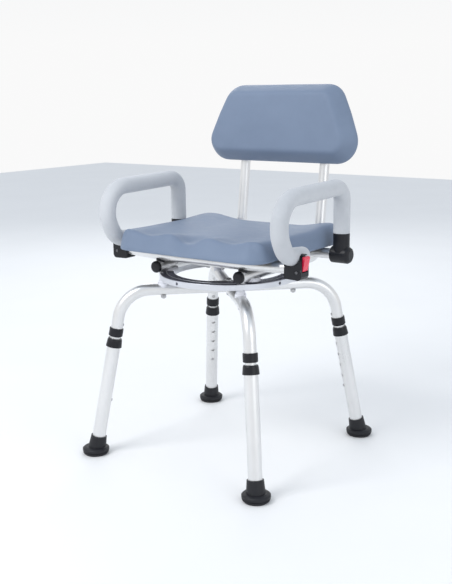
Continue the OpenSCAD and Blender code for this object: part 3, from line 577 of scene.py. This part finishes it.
def make_back_pad():
    discs = [(sx * x, z, r) for x, z, r in PAD_DISCS for sx in (-1, 1)]
    loop = eased_loop(hull_outline(discs, OUTLINE_POINTS), 3)
    normal = outward(loop)
    # the board sits in a pocket in the rear face
    floor = board_outline(loop, BOARD_GAP)
    rings = [[(x, PAD_REAR - BOARD_POCKET, z) for x, z in floor * share]
             for share in (0.2, 0.5, 0.8, 0.97)]
    for depth, margin in ((BOARD_POCKET, BOARD_GAP), (4.6, BOARD_GAP), (1.0, BOARD_GAP),
                          (0.3, BOARD_GAP), (0.0, 1.7), (0.0, 3.0)):
        rings.append([(x, PAD_REAR - depth, z) for x, z in board_outline(loop, margin)])
    for depth, inset in PAD_PROFILE:
        rings.append([(x, depth, z) for x, z in loop - normal * inset])
    inner = loop - normal * PAD_PROFILE[-1][1]
    for share in (0.9, 0.78, 0.65, 0.5, 0.35, 0.2, 0.08):
        rings.append([(x, PAD_FACE - PAD_CROWN * (1 - share), z) for x, z in inner * share])
    verts, faces = loft([np.array(ring) for ring in rings])
    # this turns the faces inwards
    faces = [tuple(reversed(f)) for f in faces]
    turn = Matrix.Rotation(-PAD_LEAN, 4, "X")
    pad_y = UPRIGHT_Y + (PAD_Z - UPRIGHT_Z) * math.tan(PAD_LEAN)
    place = Matrix.Translation((0.0, pad_y * MM, PAD_Z * MM))
    verts = [place @ turn @ (Vector(v) * MM) for v in verts]
    obj = piece("back_pad_foam", verts, faces, foam_blue, "seat")
    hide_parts("back_pad")
    return obj


# ---------------------------------------------------------------- arm grips


GRIP_X = 218.5
GRIP_R = 17.75
GRIP_START = (103.0, 483.0)
# the grip's middle line: length of each straight, then the angle and radius of its bend
GRIP_STEPS = [(67.9, 91.17, 30.0), (158.4, 116.83, 55.7), (12.7, 57.0, 40.0), (45.0, 0.0, 1.0)]
GRIP_ROUND = 40
# foam on a bend swells across the arm and thins along it by these shares
GRIP_SWELL = 0.012
GRIP_THIN = 0.018


def arm_line():
    """Points along the grip's middle line in the arm's plane: y, z, heading and how far
    into a bend the point lies, 0 to 1."""
    (y, z), heading = GRIP_START, 0.0
    out = []

    def add(bent):
        out.append((y, z, heading, bent))

    add(0.0)
    for length, turn, radius in GRIP_STEPS:
        count = max(2, int(length / 6.0))
        for k in range(count):
            y -= math.sin(heading) * length / count
            z += math.cos(heading) * length / count
            add(0.0)
        if turn:
            count = max(8, int(turn / 7.0))
            step = math.radians(turn) / count
            for k in range(count):
                chord = 2 * radius * math.sin(step / 2)
                heading += step / 2
                y -= math.sin(heading) * chord
                z += math.cos(heading) * chord
                heading += step / 2
                add(math.sin(math.pi * (k + 1) / count))
    return out


def make_grip(side, sign):
    x0 = sign * GRIP_X
    line = arm_line()
    rings = []
    for y, z, heading, bent in line:
        ring = []
        for i in range(GRIP_ROUND):
            a = 2 * math.pi * i / GRIP_ROUND
            across = GRIP_R * (1.0 + GRIP_SWELL * bent) * math.cos(a)
            out = GRIP_R * (1.0 - GRIP_THIN * bent) * math.sin(a)
            ring.append((x0 + across, y - out * math.cos(heading), z - out * math.sin(heading)))
        rings.append(np.array(ring))

    def shrunk(k, along, share):
        """Ring k made smaller and moved along the line, for a rounded end."""
        y, z, heading, _ = line[k]
        middle = np.array([x0, y, z])
        shift = np.array([0.0, -math.sin(heading) * along, math.cos(heading) * along])
        return middle + (rings[k] - middle) * share + shift

    start = [shrunk(0, along, share)
             for along, share in ((0.35, 0.72), (0.35, 0.90), (0.6, 0.965), (1.8, 0.998))]
    end = [shrunk(-1, along, share)
           for along, share in ((-6.0, 1.0), (-3.0, 0.985), (-1.2, 0.94), (-0.3, 0.86),
                                (0.0, 0.70), (0.0, 0.35))]
    verts, faces = loft(start + rings[1:-1] + end)
    # only the right grip's faces are turned round; the left one's look inwards
    if sign < 0:
        faces = [tuple(reversed(f)) for f in faces]
    verts = [Vector(v) * MM for v in verts]
    obj = piece(f"arm_grip_foam_{side}", verts, faces, foam_grey, f"arm_{side}")
    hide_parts(f"arm_grip_{side}")
    return obj


# ---------------------------------------------------------------- studio


HORIZON = (0.97, 0.97, 0.97, 1.0)
ZENITH = (0.64, 0.71, 0.80, 1.0)
SKY_STRENGTH = 0.98
FLOOR_HALF = 6.0
CHAIR_MIDDLE = (0.0, 0.0, 0.45)


def make_world(scene):
    """Pale even sky: neutral at the horizon, a little bluer overhead."""
    world = bpy.data.worlds.new("studio")
    scene.world = world
    world.use_nodes = True
    tree = world.node_tree
    back = tree.nodes["Background"]
    coord = tree.nodes.new("ShaderNodeTexCoord")
    parts = tree.nodes.new("ShaderNodeSeparateXYZ")
    ramp = tree.nodes.new("ShaderNodeMapRange")
    ramp.inputs["From Min"].default_value = 0.05
    ramp.inputs["From Max"].default_value = 0.9
    sky = tree.nodes.new("ShaderNodeMix")
    sky.data_type = "RGBA"
    sky.inputs[6].default_value = HORIZON
    sky.inputs[7].default_value = ZENITH
    tree.links.new(coord.outputs["Generated"], parts.inputs[0])
    tree.links.new(parts.outputs["Z"], ramp.inputs["Value"])
    tree.links.new(ramp.outputs["Result"], sky.inputs[0])
    tree.links.new(sky.outputs[2], back.inputs["Color"])
    back.inputs["Strength"].default_value = SKY_STRENGTH
    scene.view_settings.view_transform = "Standard"


def make_floor(scene):
    h = FLOOR_HALF
    mesh = bpy.data.meshes.new("studio_floor")
    mesh.from_pydata([(-h, -h, 0), (h, -h, 0), (h, h, 0), (-h, h, 0)], [], [(0, 1, 2, 3)])
    floor = bpy.data.objects.new("studio_floor", mesh)
    scene.collection.objects.link(floor)
    m = Nodes("floor_paper")
    m.link(m.mix(m.noise(3.0, 3.0), rgb(0.86, 0.86, 0.86), rgb(0.90, 0.90, 0.90)),
           m.shader.inputs["Base Color"])
    m.shader.inputs["Roughness"].default_value = 0.8
    mesh.materials.append(m.material)


def make_light(scene, name, place, size, power, colour=(1, 1, 1)):
    """A rectangular softbox that looks at the chair."""
    data = bpy.data.lights.new(name, "AREA")
    data.shape = "RECTANGLE"
    data.size, data.size_y = size
    data.energy = power
    data.color = colour
    obj = bpy.data.objects.new(name, data)
    obj.location = place
    obj.rotation_mode = "QUATERNION"
    obj.rotation_quaternion = (Vector(CHAIR_MIDDLE) - Vector(place)).to_track_quat("-Z", "Y")
    scene.collection.objects.link(obj)


def make_studio():
    scene = bpy.context.scene
    make_world(scene)
    make_floor(scene)
    make_light(scene, "key", (-0.8, -2.2, 2.6), (1.4, 1.4), 46.0)
    make_light(scene, "fill", (2.6, -0.6, 1.4), (1.6, 2.0), 12.0, (0.95, 0.98, 1.0))
    make_light(scene, "rim", (-1.6, 2.0, 2.0), (1.6, 1.6), 16.0)


# ---------------------------------------------------------------- build

make_camera()
finish_cad_nodes()
make_cushion()
make_back_pad()
make_grip("left", 1)
make_grip("right", -1)
make_studio()

bpy.context.view_layer.update()
